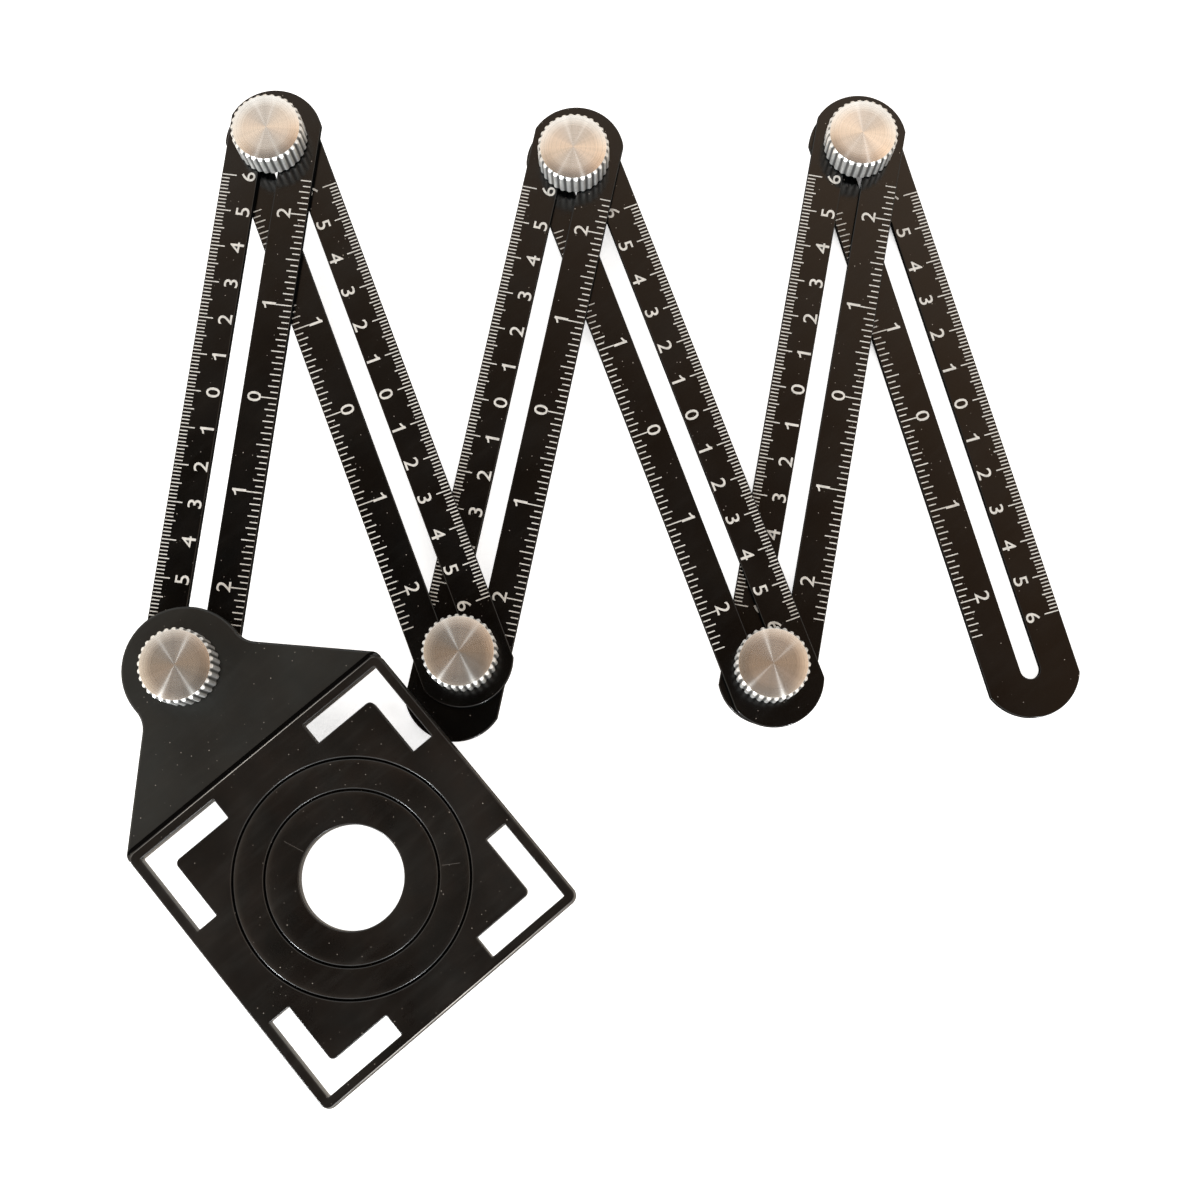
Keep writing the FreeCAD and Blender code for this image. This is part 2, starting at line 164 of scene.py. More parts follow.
class ScaleSettings(bpy.types.PropertyGroup):
    """Sizes of the printed scales."""
    zero_offset: mm("Metric zero offset", "From the strip's middle to the metric zero", 2.2)
    inch_offset: mm("Inch zero offset", "From the strip's middle to the inch zero", 2.5)
    tick_width: mm("Tick width", "Of every graduation", 0.30)
    edge_gap: mm("Edge gap", "From the strip's edge to the ticks", 0.22)
    ink_thickness: mm("Ink thickness", "How far the ink stands up", 0.02)
    millimetre_tick: mm("Millimetre tick", "Length of the shortest metric tick", 2.3)
    half_tick: mm("Five millimetre tick", "Length of the middle metric tick", 3.0)
    centimetre_tick: mm("Centimetre tick", "Length of the longest metric tick", 4.0)
    sixteenth_tick: mm("Sixteenth tick", "Length of the shortest inch tick", 2.2)
    eighth_tick: mm("Eighth tick", "Length of the eighth inch tick", 3.0)
    half_inch_tick: mm("Half inch tick", "Length of the half inch tick", 3.65)
    inch_tick: mm("Inch tick", "Length of the whole inch tick", 4.35)
    metric_base: mm("Metric base line", "From the metric edge to the digits' feet", 9.05)
    inch_base: mm("Inch base line", "From the inch edge to the digits' feet", 4.4)
    digit_height: mm("Digit height", "Of every digit", 3.65)
    digit_spread: amount("Digit spread", "Width of a digit by its drawn width", 1.18)


class PlateSettings(bpy.types.PropertyGroup):
    """Sizes of the guide plate, its bracket and its rings."""
    side: mm("Side", "Of the square plate", 80.0)
    thickness: mm("Thickness", "Of the plate", 4.2)
    corner_radius: mm("Corner radius", "Of the plate's corners", 2.5)
    edge_round: mm("Edge round", "Of the bracket's top edge", 0.6)
    foot_round: mm("Foot round", "Of the lower edges of plate and bracket", 0.3)
    parting_height: mm("Parting height", "Of the line round the plate's wall", 2.0)
    parting_inset: mm("Parting inset", "Of the wall above the parting line", 0.12)
    draft: mm("Draft", "How far the wall leans in above the parting line", 0.3)
    rim_round: mm("Rim round", "Of the plate's top edge", 0.3)
    step_fillet: mm("Step fillet", "Where the plate rises from the bracket", 0.95)
    bracket_thickness: mm("Bracket thickness", "Of the bracket and its lug", 3.0)
    reach: mm("Reach", "From the plate's middle to the lug's", 68.0)
    lug_radius: mm("Lug radius", "Of the bracket's round end", 16.0)
    flare_radius: mm("Flare radius", "Of the hollow beside the lug", 7.0)
    hole_radius: mm("Hole radius", "Of the bracket's bolt hole", 2.58)
    hole_round: mm("Hole round", "Of the edges of holes and seats", 0.2)
    window_margin: mm("Window margin", "From the plate's edge to a window", 2.8)
    window_width: mm("Window width", "Across each leg of a window", 6.0)
    window_bridge: mm("Window bridge", "Between two windows", 28.6)
    window_bend: mm("Window bend", "Radius inside a window's corner", 1.5)
    window_round: mm("Window round", "Of a window's top edge", 0.28)
    outer_seam: mm("Outer seam radius", "Where the outer ring meets the plate", 29.7)
    inner_seam: mm("Inner seam radius", "Where the inner ring meets the outer", 21.8)
    bore: mm("Bore radius", "Of the guide bore", 13.0)
    seam_gap: mm("Seam gap", "Between a ring and its seat", 0.42)
    seam_round: mm("Seam round", "Of the edges beside a seam", 0.35)
    ledge_width: mm("Ledge width", "Of the step that carries a ring", 1.25)
    ledge_height: mm("Ledge height", "Of the step that carries a ring", 1.2)
    knit_width: mm("Knit line width", "Of the rings' moulding lines", 0.13)


class NutSettings(bpy.types.PropertyGroup):
    """Sizes of the thumb nuts."""
    radius: mm("Radius", "Over the flutes' crests", 9.5)
    crown_bevel: mm("Crown bevel", "Of the bright edge round the crown", 0.7)
    foot_bevel: mm("Foot bevel", "Of the lower edge", 0.4)
    soft_edge: mm("Soft edge", "How far a turned edge is broken", 0.12)
    bore: mm("Bore radius", "Of the blind bore", 2.55)
    bore_depth: mm("Bore depth", "Of the blind bore", 7.0)
    flute_depth: mm("Flute depth", "Of the valleys between the teeth", 0.5)
    flute_count: IntProperty(name="Flutes", description="Scallops round the rim", default=30)


class WasherSettings(bpy.types.PropertyGroup):
    """Sizes of the flat washers."""
    radius: mm("Radius", "Of the rim", 6.0)
    bore: mm("Bore radius", "Round the bolt", 2.6)
    edge_round: mm("Edge round", "Of the pressed edges", 0.1)


class FinishSettings(bpy.types.PropertyGroup):
    """Colours of the finishes."""
    anodised: paint("Anodised black", "Of the strips", (0.0012, 0.0015, 0.0017))
    plastic: paint("Plastic black", "Of the plate and the rings", (0.0037, 0.0029, 0.0024))
    bracket: paint("Bracket black", "Of the bracket", (0.0030, 0.0036, 0.0028))
    # The pale colour of the highlight painted on the plate's top rims.
    worn: paint("Highlighted edge", "Of the plate's rubbed edge", (0.72, 0.70, 0.66))
    knit: paint("Knit line", "Of the rings' moulding lines", (0.060, 0.053, 0.050))
    ink: paint("Scale ink", "Of the printed scales", (0.66, 0.65, 0.62))
    turned: paint("Turned aluminium", "Of the nuts' crowns", (0.88, 0.855, 0.81))
    fluted: paint("Fluted aluminium", "Of the nuts' rims", (0.90, 0.90, 0.88))
    steel: paint("Steel", "Of the bolts and washers", (0.52, 0.52, 0.53))


class StudioSettings(bpy.types.PropertyGroup):
    """The camera and the light."""
    camera_place: metres("Camera place", "Where the camera stands", (0.052625, -0.036953, 0.406527))
    camera_turn: FloatVectorProperty(name="Camera turn", description="How the camera is turned",
                                     default=[math.radians(a) for a in (8.974, 0.396, -40.161)],
                                     subtype="EULER", precision=5)
    camera_lens: FloatProperty(name="Focal length", description="On a 36 mm wide sensor",
                               default=48.3, subtype="DISTANCE_CAMERA")
    window_heading: degrees("Window heading", "Where the room is brightest", 235)
    room_low: amount("Dim side strength", "Of the room across the window's line", 1.5)
    room_high: amount("Window side strength", "Of the room along the window's line", 2.2)
    room_lean: amount("Room lean", "What the window's end has more, and the other less", 0.5)
    ceiling_heading: degrees("Ceiling heading", "Where the ceiling is lightest", 5)
    ceiling_low: amount("Dark ceiling share", "Of the ceiling away from its heading", 0.05)
    ceiling_high: amount("Light ceiling share", "Of the ceiling along its heading", 1.0)
    sun_heading: degrees("Far lamp heading", "Where the far lamp stands", 254)
    sun_rise: degrees("Far lamp rise", "How far the far lamp stands above the floor", 29)
    sun_spread: degrees("Far lamp spread", "How wide the far lamp looks", 3)
    sun_strength: amount("Far lamp strength", "Of the far lamp", 2.0)
    lamp_place: metres("Lamp place", "Where the near lamp stands", (-0.768, -0.067, 0.190))
    lamp_aim: metres("Lamp aim", "The point that the near lamp faces", (0.0, 0.068, 0.010))
    lamp_size: mm("Lamp size", "Across the near lamp", 40.0)
    lamp_power: amount("Lamp power", "Of the near lamp, in watts", 7.5)


class FoldingRulerSettings(bpy.types.PropertyGroup):
    """All the settings of the ruler."""
    arm: PointerProperty(type=ArmSettings)
    scale: PointerProperty(type=ScaleSettings)
    plate: PointerProperty(type=PlateSettings)
    nut: PointerProperty(type=NutSettings)
    washer: PointerProperty(type=WasherSettings)
    finish: PointerProperty(type=FinishSettings)
    studio: PointerProperty(type=StudioSettings)


def arc_path(arcs, degrees_per_step=6.0):
    """A closed outline of arcs (x, y, radius, start, end), joined by straight lines.

    A point is the centre plus radius times (cos a, sin a). The normal is that direction where the
    arc turns anticlockwise, and its opposite on a hollow arc, which turns clockwise.
    """
    points, normals = [], []
    for x, y, radius, start, end in arcs:
        count = max(4, int(abs(end - start) / degrees_per_step) + 1)
        angle = np.radians(np.linspace(start, end, count))
        radial = np.stack([np.cos(angle), np.sin(angle)], axis=1)
        points.append(np.array([x, y]) + radius * radial)
        normals.append(radial * np.sign(end - start))
    return np.concatenate(points), np.concatenate(normals)


def round_hole(y, radius, degrees_per_step):
    """A whole circle round (0, y), clockwise as a hole is, that stops one step before its start."""
    return arc_path([(0, y, radius, 180, degrees_per_step - 180)], degrees_per_step)


def lower_edge(low, radius, steps=5):
    """(inset, height) pairs up a rounded lower edge: in by r(1 - sin a) and up by r(1 - cos a)."""
    angle = np.linspace(0, math.pi / 2, steps)
    return np.stack([radius * (1 - np.sin(angle)), low + radius * (1 - np.cos(angle))], axis=1)


def upper_edge(high, radius, steps=5, inset=0.0):
    """(inset, height) pairs up a rounded upper edge: in by r(1 - cos a) and down by r(1 - sin a)."""
    angle = np.linspace(0, math.pi / 2, steps)
    return np.stack([inset + radius * (1 - np.cos(angle)), high - radius * (1 - np.sin(angle))], axis=1)


def rounded_wall(low, high, low_round, high_round):
    """(inset, height) pairs up an upright wall, from its lower edge to its upper one."""
    return np.concatenate([lower_edge(low, low_round), upper_edge(high, high_round)])


def wrapped_quads(rows, columns, offset=0, closed_rows=False):
    """Quads over a grid whose columns run round and meet; the rows may meet too."""
    row_count = rows if closed_rows else rows - 1
    row, column = np.meshgrid(np.arange(row_count), np.arange(columns), indexing="ij")
    above, beside = (row + 1) % rows, (column + 1) % columns
    corners = [(row, column), (row, beside), (above, beside), (above, column)]
    return offset + np.stack([up * columns + across for up, across in corners], axis=-1).reshape(-1, 4)


def put(name, data):
    """A new object at the origin, linked to the scene."""
    item = bpy.data.objects.new(name, data)
    bpy.context.scene.collection.objects.link(item)
    return item


def new_piece(name, vertices, faces, body, materials, stands_for=()):
    """Makes a mesh object in the row frame and tells the frame what it is."""
    mesh = bpy.data.meshes.new(name)
    mesh.from_pydata(np.asarray(vertices, float), [], faces)
    piece = put(name, mesh)
    for material in materials:
        mesh.materials.append(material)
    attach(piece, body)
    if stands_for:
        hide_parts(*stands_for)
    return piece


@contextmanager
def edited(mesh):
    """The mesh as a bmesh, written back when the work on it is done."""
    work = bmesh.new()
    work.from_mesh(mesh)
    yield work
    work.to_mesh(mesh)
    work.free()


def smooth_piece(piece, sharp_degrees=35.0):
    """Shades the piece smooth, with its sharper edges kept crisp, and points its faces outwards."""
    limit = math.radians(sharp_degrees)
    with edited(piece.data) as work:
        bmesh.ops.recalc_face_normals(work, faces=work.faces)
        for face in work.faces:
            face.smooth = True
        for edge in work.edges:
            if len(edge.link_faces) == 2 and edge.calc_face_angle(0.0) > limit:
                edge.smooth = False


def turn(vertices, centre, heading):
    """Turns local points by the heading and moves them to the centre."""
    cosine, sine = math.cos(heading), math.sin(heading)
    spin = np.array([[cosine, sine, 0], [-sine, cosine, 0], [0, 0, 1]])
    return np.asarray(vertices) @ spin + np.asarray(centre)


def slab(name, loops, body, materials, stands_for=(), pose=((0, 0, 0), 0.0), material_of=None):
    """A flat plate with holes: each loop is an outline with its wall profile, and flat caps close it.

    A vertex is the outline's point less its normal times the profile's inset, at the profile's height.
    A profile may differ from point to point. The caps are filled in millimetres, and the plate is then
    moved to its pose. The test material_of gives each face's material by its centre and normal.
    """
    vertices, faces, rims = [], [], []
    offset = 0
    for (points, normals), profile in loops:
        if profile.ndim == 2:
            profile = np.repeat(profile[:, None], len(points), axis=1)
        plan = points[None] - normals[None] * profile[..., :1]
        grid = np.concatenate([plan, profile[..., 1:]], axis=-1)
        rows, columns = grid.shape[:2]
        vertices.append(grid.reshape(-1, 3))
        faces += wrapped_quads(rows, columns, offset).tolist()
        rims.append((offset, offset + (rows - 1) * columns, columns))
        offset += rows * columns
    vertices = np.concatenate(vertices)
    piece = new_piece(name, vertices / MM, faces, body, materials, stands_for)
    with edited(piece.data) as work:
        work.verts.ensure_lookup_table()
        for level in (0, 1):
            cap_edges = []
            for rim in rims:
                start, columns = rim[level], rim[2]
                for step in range(columns):
                    pair = (work.verts[start + step], work.verts[start + (step + 1) % columns])
                    edge = work.edges.get(pair)
                    edge.smooth = False
                    cap_edges.append(edge)
            bmesh.ops.triangle_fill(work, edges=cap_edges, use_beauty=True, normal=(0, 0, 1))
        bmesh.ops.recalc_face_normals(work, faces=work.faces)
        for face in work.faces:
            face.smooth = True
    if material_of:
        polygons = piece.data.polygons
        centres, facing = (np.zeros(len(polygons) * 3) for _ in range(2))
        polygons.foreach_get("center", centres)
        polygons.foreach_get("normal", facing)
        picked = material_of(centres.reshape(-1, 3) * MM, facing.reshape(-1, 3))
        polygons.foreach_set("material_index", picked.astype(np.int32))
    piece.data.vertices.foreach_set("co", turn(vertices, *pose).astype(np.float32).ravel())
    piece.data.update()
    return piece


def lathe(name, radii, heights, centre, body, slot, materials, stands_for=(), steps=180, closed=True):
    """A turned shape: (r cos a, r sin a, height) over profile and angle.

    The radii are one column, or a grid where r changes with the angle too. A closed profile is a ring.
    """
    angle = np.linspace(0, 2 * math.pi, steps, endpoint=False)
    grid = np.stack([
        radii * np.cos(angle) + centre[0],
        radii * np.sin(angle) + centre[1],
        np.repeat(heights, steps, axis=1) + centre[2],
    ], axis=-1)
    faces = wrapped_quads(len(radii), steps, closed_rows=closed).tolist()
    return new_piece(name, grid.reshape(-1, 3), faces, body, materials, stands_for)


def rounded_section(corners, radius_steps=4):
    """A closed section through corners (radius, height, rounding), each rounded by a tangent arc.

    An arc's point is the corner plus the rounding times (1 - sin a) back and (1 - cos a) ahead.
    """
    corners = np.array(corners, float)
    spots, rounding = corners[:, :2], corners[:, 2]
    before = np.roll(spots, 1, axis=0) - spots
    after = np.roll(spots, -1, axis=0) - spots
    before /= np.linalg.norm(before, axis=1)[:, None]
    after /= np.linalg.norm(after, axis=1)[:, None]
    angle = np.linspace(0, math.pi / 2, radius_steps + 1)[:, None]
    rows = []
    for spot, back, ahead, size in zip(spots, before, after, rounding):
        bend = size * ((1 - np.sin(angle)) * back + (1 - np.cos(angle)) * ahead)
        rows.append(spot + bend if size else spot[None])
    section = np.concatenate(rows)
    return section[:, :1], section[:, 1:]


def node_middle(name):
    """The middle of a CAD node's underside, and the height of its top."""
    low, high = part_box(name)
    return np.array([(low.x + high.x) / 2, (low.y + high.y) / 2, low.z]), high.z


def arm_pose(number):
    """The strip's middle on its underside and its heading, from its own bolt to the next."""
    middle, _ = node_middle(f"ruler_arm_{number}")
    if number < ARM_COUNT:
        axis = [-value for value in JOINTS[f"joint_{number + 1}_upper_slide"]["axis"]]
    else:
        axis = JOINTS[f"joint_{number}_lower_slide"]["axis"]
    return middle, math.atan2(axis[1], axis[0])


def rgba(colour, factor=1.0):
    return (*[channel * factor for channel in colour], 1.0)


class Nodes:
    """A node tree with short ways to add its nodes and to join them."""

    def __init__(self, tree):
        self.tree = tree

    def add(self, kind, inputs=None, **settings):
        node = self.tree.nodes.new("ShaderNode" + kind)
        for key, value in settings.items():
            setattr(node, key, value)
        for key, value in (inputs or {}).items():
            self.join(node.inputs[key], value)
        return node

    def join(self, socket, value):
        if isinstance(value, bpy.types.NodeSocket):
            self.tree.links.new(value, socket)
        else:
            socket.default_value = value

    def math(self, operation, *values):
        return self.add("Math", dict(enumerate(values)), operation=operation).outputs[0]

    def ramp(self, value, low, high, low_out=0.0, high_out=1.0):
        return self.add("MapRange", {"Value": value, "From Min": low, "From Max": high,
                                     "To Min": low_out, "To Max": high_out}).outputs["Result"]

    def blend(self, factor, first, second, mode="MIX"):
        return self.add("Mix", {"Factor": factor, 6: first, 7: second}, data_type="RGBA",
                        blend_type=mode).outputs[2]


class Finish(Nodes):
    """A material's nodes, round its shader and on Object coordinates."""

    def __init__(self, name):
        self.material = bpy.data.materials.new(name)
        self.material.use_nodes = True
        super().__init__(self.material.node_tree)
        self.shader = self.tree.nodes["Principled BSDF"]
        self.place = self.add("TexCoord").outputs["Object"]

    def set(self, **inputs):
        for key, value in inputs.items():
            self.join(self.shader.inputs[key.replace("_", " ")], value)

    def noise(self, scale, detail=3.0, roughness=0.55, vector=None):
        return self.add("TexNoise", {"Vector": vector or self.place, "Scale": scale, "Detail": detail,
                                     "Roughness": roughness}).outputs["Fac"]

    def shades(self, factor, colour, low, high):
        """From a low share of the colour to a high one, as the factor rises."""
        return self.blend(factor, rgba(colour, low), rgba(colour, high))

    def bump(self, height, strength, distance):
        bump = self.add("Bump", {"Height": height, "Strength": strength, "Distance": distance})
        self.set(Normal=bump.outputs["Normal"])


def black_finish(name, colour, gloss, grain, film, dust=0.7, grain_scale=900.0):
    """A glossy black with a cloudy sheen, a faint grain, a smeared film and pale specks of dust."""
    finish = Finish(name)
    cloud = finish.noise(45.0, 4.0)
    cells = finish.add("TexVoronoi", {"Vector": finish.place, "Scale": 520.0}).outputs
    near = finish.ramp(cells["Distance"], 0.05, 0.09, 1.0, 0.0)
    chance = finish.add("SeparateColor", {"Color": cells["Color"]}).outputs["Red"]
    specks = finish.math("MULTIPLY", near, finish.ramp(chance, 0.15, 1.0, 0.0, dust))
    red, green, blue = colour
    warm, cool = (red * 1.2, green, blue * 0.85), (red * 0.85, green, blue * 1.05)
    tint = finish.ramp(finish.noise(110.0), 0.35, 0.65)
    dark, light = (finish.blend(tint, rgba(warm, share), rgba(cool, share)) for share in (0.65, 1.4))
    body = finish.blend(finish.ramp(cloud, 0.3, 0.7), dark, light)
    smeared = finish.add("Mapping", {"Vector": finish.place, "Rotation": (0, 0, 0.6), "Scale": (1, 7, 1)})
    haze = finish.ramp(finish.noise(60.0, 4.0, 0.6, smeared.outputs["Vector"]), 0.5, 0.8, 0.0, film)
    finish.set(Base_Color=finish.blend(specks, finish.blend(haze, body, rgba(FILM)), rgba(DUST)))
    finish.set(Roughness=finish.ramp(cloud, 0.3, 0.7, gloss - 0.04, gloss + 0.05))
    finish.bump(finish.noise(grain_scale), grain, 0.05 * MM)
    return finish.material


def matt_finish(name, colour):
    """A dull black for cut edges, and, given a darker colour, for the shade painted into the hollow beside
    the bracket.
    """
    finish = Finish(name)
    grain = finish.ramp(finish.noise(1500.0), 0.3, 0.7)
    finish.set(Base_Color=finish.shades(grain, colour, 0.7, 1.3), Roughness=0.7, Specular_IOR_Level=0.03)
    return finish.material


def worn_finish(name, colour, worn, reach):
    """A moulded edge with a highlight painted pale along it, brightest in its middle."""
    finish = Finish(name)
    away = finish.math("ABSOLUTE", finish.add("SeparateXYZ", {"Vector": finish.place}).outputs["X"])
    # Painted highlight: pale along the rim, strongest near the edge's middle and patchy along it.
    middle = finish.ramp(away, 0.15 * reach, reach, 1.0, 0.12)
    highlighted = finish.ramp(finish.noise(260.0, 4.0), 0.3, 0.6, 0.6, 1.0)
    weight = finish.math("MULTIPLY", middle, highlighted)
    finish.set(Base_Color=finish.blend(weight, rgba(colour), rgba(worn)), Roughness=0.35)
    return finish.material


def ink_finish(colour):
    """Matt off-white ink, thinned by wear in places."""
    finish = Finish("scale_ink")
    worn = finish.ramp(finish.noise(700.0, 4.0, 0.7), 0.35, 0.6)
    finish.set(Base_Color=finish.shades(worn, colour, 0.72, 1.0), Roughness=0.55)
    return finish.material


def spun_finish(colour):
    """Aluminium turned in fine rings round its own middle, which stretch the gloss across them; faint
    reflection streaks are painted into its colour in sectors round the middle.
    """
    finish = Finish("spun_aluminium")
    around = finish.add("UVMap", uv_map="around").outputs["UV"]
    parts = finish.add("SeparateXYZ", {"Vector": around}).outputs
    rings = finish.noise(24.0, 3.0, 0.7, finish.add("CombineXYZ", {"Y": parts["Y"]}).outputs[0])
    # Painted reflection: noise that changes only round the middle paints faint radial streaks into the
    # colour.
    angle = finish.math("MULTIPLY", parts["X"], 2 * math.pi)
    circle = {"X": finish.math("COSINE", angle), "Y": finish.math("SINE", angle)}
    painted_streaks = finish.noise(2.2, 3.0, 0.6, finish.add("CombineXYZ", circle).outputs[0])
    shade = finish.ramp(finish.math("ADD", rings, painted_streaks), 0.75, 1.25)
    finish.set(Metallic=1.0, Base_Color=finish.shades(shade, colour, 0.86, 1.06), Roughness=0.22)
    tangent = finish.add("Tangent", direction_type="UV_MAP", uv_map="around").outputs["Tangent"]
    finish.set(Anisotropic=1.0, Anisotropic_Rotation=0.25, Tangent=tangent)
    finish.bump(rings, 0.3, 0.01 * MM)
    return finish.material


def fluted_finish(colour):
    """Milled aluminium, with shade painted dark into the valleys between the teeth."""
    finish = Finish("fluted_aluminium")
    grain = finish.noise(900.0)
    tint = finish.shades(finish.ramp(grain, 0.3, 0.7), colour, 0.88, 1.04)
    valley = finish.add("Attribute", attribute_name="valley").outputs["Fac"]
    # Painted shade: the colour darkens with the flute depth, as if the valleys lay in shadow.
    tint = finish.blend(finish.ramp(valley, 0.3, 0.8), tint, rgba(colour, 0.22))
    finish.set(Metallic=0.7, Base_Color=tint, Roughness=finish.ramp(grain, 0.3, 0.7, 0.30, 0.42))
    return finish.material


def steel_finish(colour):
    """Plain plated steel with a faint grain."""
    finish = Finish("plated_steel")
    grain = finish.noise(1200.0)
    finish.set(Metallic=1.0, Roughness=finish.ramp(grain, 0.3, 0.7, 0.26, 0.42))
    finish.set(Base_Color=finish.shades(finish.ramp(grain, 0.3, 0.7), colour, 0.85, 1.1))
    finish.bump(grain, 0.1, 0.02 * MM)
    return finish.material


def digit_mesh(character):
    """Vertices and faces of a digit one unit tall, standing on y = 0 and centred on x = 0."""
    curve = bpy.data.curves.new("digit", type="FONT")
    curve.body = character
    curve.extrude = 0.5
    curve.offset = 0.004
    curve.resolution_u = 3
    text = put("digit", curve)
    bpy.context.view_layer.update()
    mesh = bpy.data.meshes.new_from_object(text.evaluated_get(bpy.context.evaluated_depsgraph_get()))
    with edited(mesh) as work:
        bmesh.ops.remove_doubles(work, verts=work.verts, dist=1e-5)
    vertices = np.zeros(len(mesh.vertices) * 3)
    mesh.vertices.foreach_get("co", vertices)
    vertices = vertices.reshape(-1, 3)
    faces = [list(polygon.vertices) for polygon in mesh.polygons]
    bpy.data.objects.remove(text)
    bpy.data.curves.remove(curve)
    bpy.data.meshes.remove(mesh)
    low, high = vertices.min(axis=0), vertices.max(axis=0)
    vertices -= [(low[0] + high[0]) / 2, low[1], (low[2] + high[2]) / 2]
    tall, deep = (high - low)[1:]
    return vertices / [tall, tall, deep], faces


def one_mesh():
    """The figure one: its outline twice, half a unit below and above, and walls between."""
    count = len(ONE_OUTLINE)
    vertices = np.concatenate([np.insert(ONE_OUTLINE, 2, level, axis=1) for level in (-0.5, 0.5)])
    faces = wrapped_quads(2, count).tolist()
    return vertices, faces + [list(range(count))[::-1], list(range(count, 2 * count))]


class InkSheet:
    """Collects ticks and digits as thin raised shapes."""

    def __init__(self, ink_low, ink_high):
        self.middle = (ink_low + ink_high) / 2
        self.depth = ink_high - ink_low
        self.vertices = []
        self.faces = []
        self.count = 0

    def stamp(self, vertices, faces, x, y, width, height):
        """Adds a unit shape, scaled to width and height, with its foot at (x, y)."""
        self.vertices.append(vertices * [width, height, self.depth] + [x, y, self.middle])
        self.faces += [[index + self.count for index in face] for face in faces]
        self.count += len(vertices)


class RULER_OT_strips(bpy.types.Operator):
    """Make the six slotted strips"""
    bl_idname = "folding_ruler.strips"
    bl_label = "Make Strips"

    def execute(self, context):
        settings = context.scene.folding_ruler
        arm = settings.arm
        anodised = settings.finish.anodised
        materials = [black_finish("anodised_black", anodised, gloss=0.17, grain=0.04, film=0.006, dust=0.8,
                                  grain_scale=1500.0),
                     matt_finish("cut_edge", anodised)]
        inner = arm.end_radius - arm.corner_radius
        rise = arm.width / 2 - arm.corner_radius
        end_x = arm.length / 2 - arm.end_radius
        corner_x = end_x + math.sqrt(inner ** 2 - rise ** 2)
        lean = math.degrees(math.asin(rise / inner))
        outline = arc_path([
            (end_x, 0, arm.end_radius, -lean, lean),
            (corner_x, rise, arm.corner_radius, lean, 90),
            (-corner_x, rise, arm.corner_radius, 90, 180 - lean),
            (-end_x, 0, arm.end_radius, 180 - lean, 180 + lean),
            (-corner_x, -rise, arm.corner_radius, 180 + lean, 270),
            (corner_x, -rise, arm.corner_radius, 270, 360 - lean),
        ], 3.0)
        slot_x = arm.length / 2 - arm.slot_margin
        slot = arc_path([
            (slot_x, 0, arm.slot_width / 2, 90, -90),
            (-slot_x, 0, arm.slot_width / 2, -90, -270),
        ], 9.0)
        wall = rounded_wall(INK_ROOM, arm.thickness, arm.edge_round / 2, arm.edge_round)
        for number in range(1, ARM_COUNT + 1):
            name = f"ruler_arm_{number}"
            slab(f"strip_{number}", [(outline, wall), (slot, wall)], name, materials, [name],
                 arm_pose(number), material_of=self.cut_edge)
        return {"FINISHED"}

    @staticmethod
    def cut_edge(centres, facing):
        """Faces steeper than about 70 degrees are the cut edge, material 1."""
        return np.abs(facing[:, 2]) < 0.35


class RULER_OT_scales(bpy.types.Operator):
    """Print the centimetre and inch scales on the strips"""
    bl_idname = "folding_ruler.scales"
    bl_label = "Print Scales"

    def execute(self, context):
        settings = context.scene.folding_ruler
        arm, scale = settings.arm, settings.scale
        material = ink_finish(settings.finish.ink)
        digits = {character: digit_mesh(character) for character in "023456"}
        digits["1"] = one_mesh()
        top = arm.thickness
        sheet = InkSheet(top - scale.ink_thickness, top + scale.ink_thickness)
        edge = arm.width / 2 - scale.edge_gap
        for side, ticks, reach, step, zero in (
                (1, METRIC_TICKS, METRIC_REACH, MM, scale.zero_offset),
                (-1, INCH_TICKS, INCH_REACH, INCH / 16, scale.inch_offset)):
            for index in range(-reach, reach + 1):
                longest = next(name for divisor, name in ticks if index % divisor == 0)
                tall = getattr(scale, longest) - scale.edge_gap
                foot = edge - tall if side > 0 else -edge
                sheet.stamp(BOX_CORNERS, BOX_FACES, zero + index * step, foot, scale.tick_width, tall)
        width = scale.digit_height * scale.digit_spread
        for marks, step, zero, foot in (
                (6, 10 * MM, scale.zero_offset, arm.width / 2 - scale.metric_base),
                (2, INCH, scale.inch_offset, scale.inch_base - arm.width / 2)):
            for mark in range(-marks, marks + 1):
                sheet.stamp(*digits[str(abs(mark))], zero + mark * step, foot, width, scale.digit_height)
        local = np.concatenate(sheet.vertices)
        for number in range(1, ARM_COUNT + 1):
            piece = new_piece(f"scale_{number}", turn(local, *arm_pose(number)), sheet.faces,
                              f"ruler_arm_{number}", [material])
            with edited(piece.data) as work:
                bmesh.ops.recalc_face_normals(work, faces=work.faces)
        return {"FINISHED"}


def deck_wall(plate):
    """The plate's wall from the underside up, and how far each row moves out beside the bracket.

    Above the parting line the wall leans in. Beside the bracket a quarter round, hollow, joins the
    two: out by r(1 - sin a) and up by r(1 - cos a).
    """
    steps = 6
    top, parting, shift = plate.thickness, plate.parting_height, plate.parting_inset
    angle = np.linspace(0, math.pi / 2, steps)
    foot = lower_edge(INK_ROOM, plate.foot_round, steps)
    hollow = plate.bracket_thickness + plate.step_fillet * (1 - np.cos(angle))
    height = np.concatenate([[parting + shift / 2, plate.bracket_thickness - 0.3 * MM], hollow])
    lean = shift + plate.draft * (height - parting) / (top - parting)
    head = upper_edge(top, plate.rim_round, steps, shift + plate.draft)
    base = np.concatenate([foot, [[0, parting]], np.stack([lean, height], 1), head])
    reach = plate.step_fillet + plate.draft
    push = np.zeros(len(base))
    start = len(foot) + 2
    push[start] = reach
    push[start + 1:start + 1 + steps] = reach * (1 - np.sin(angle))
    return base, push


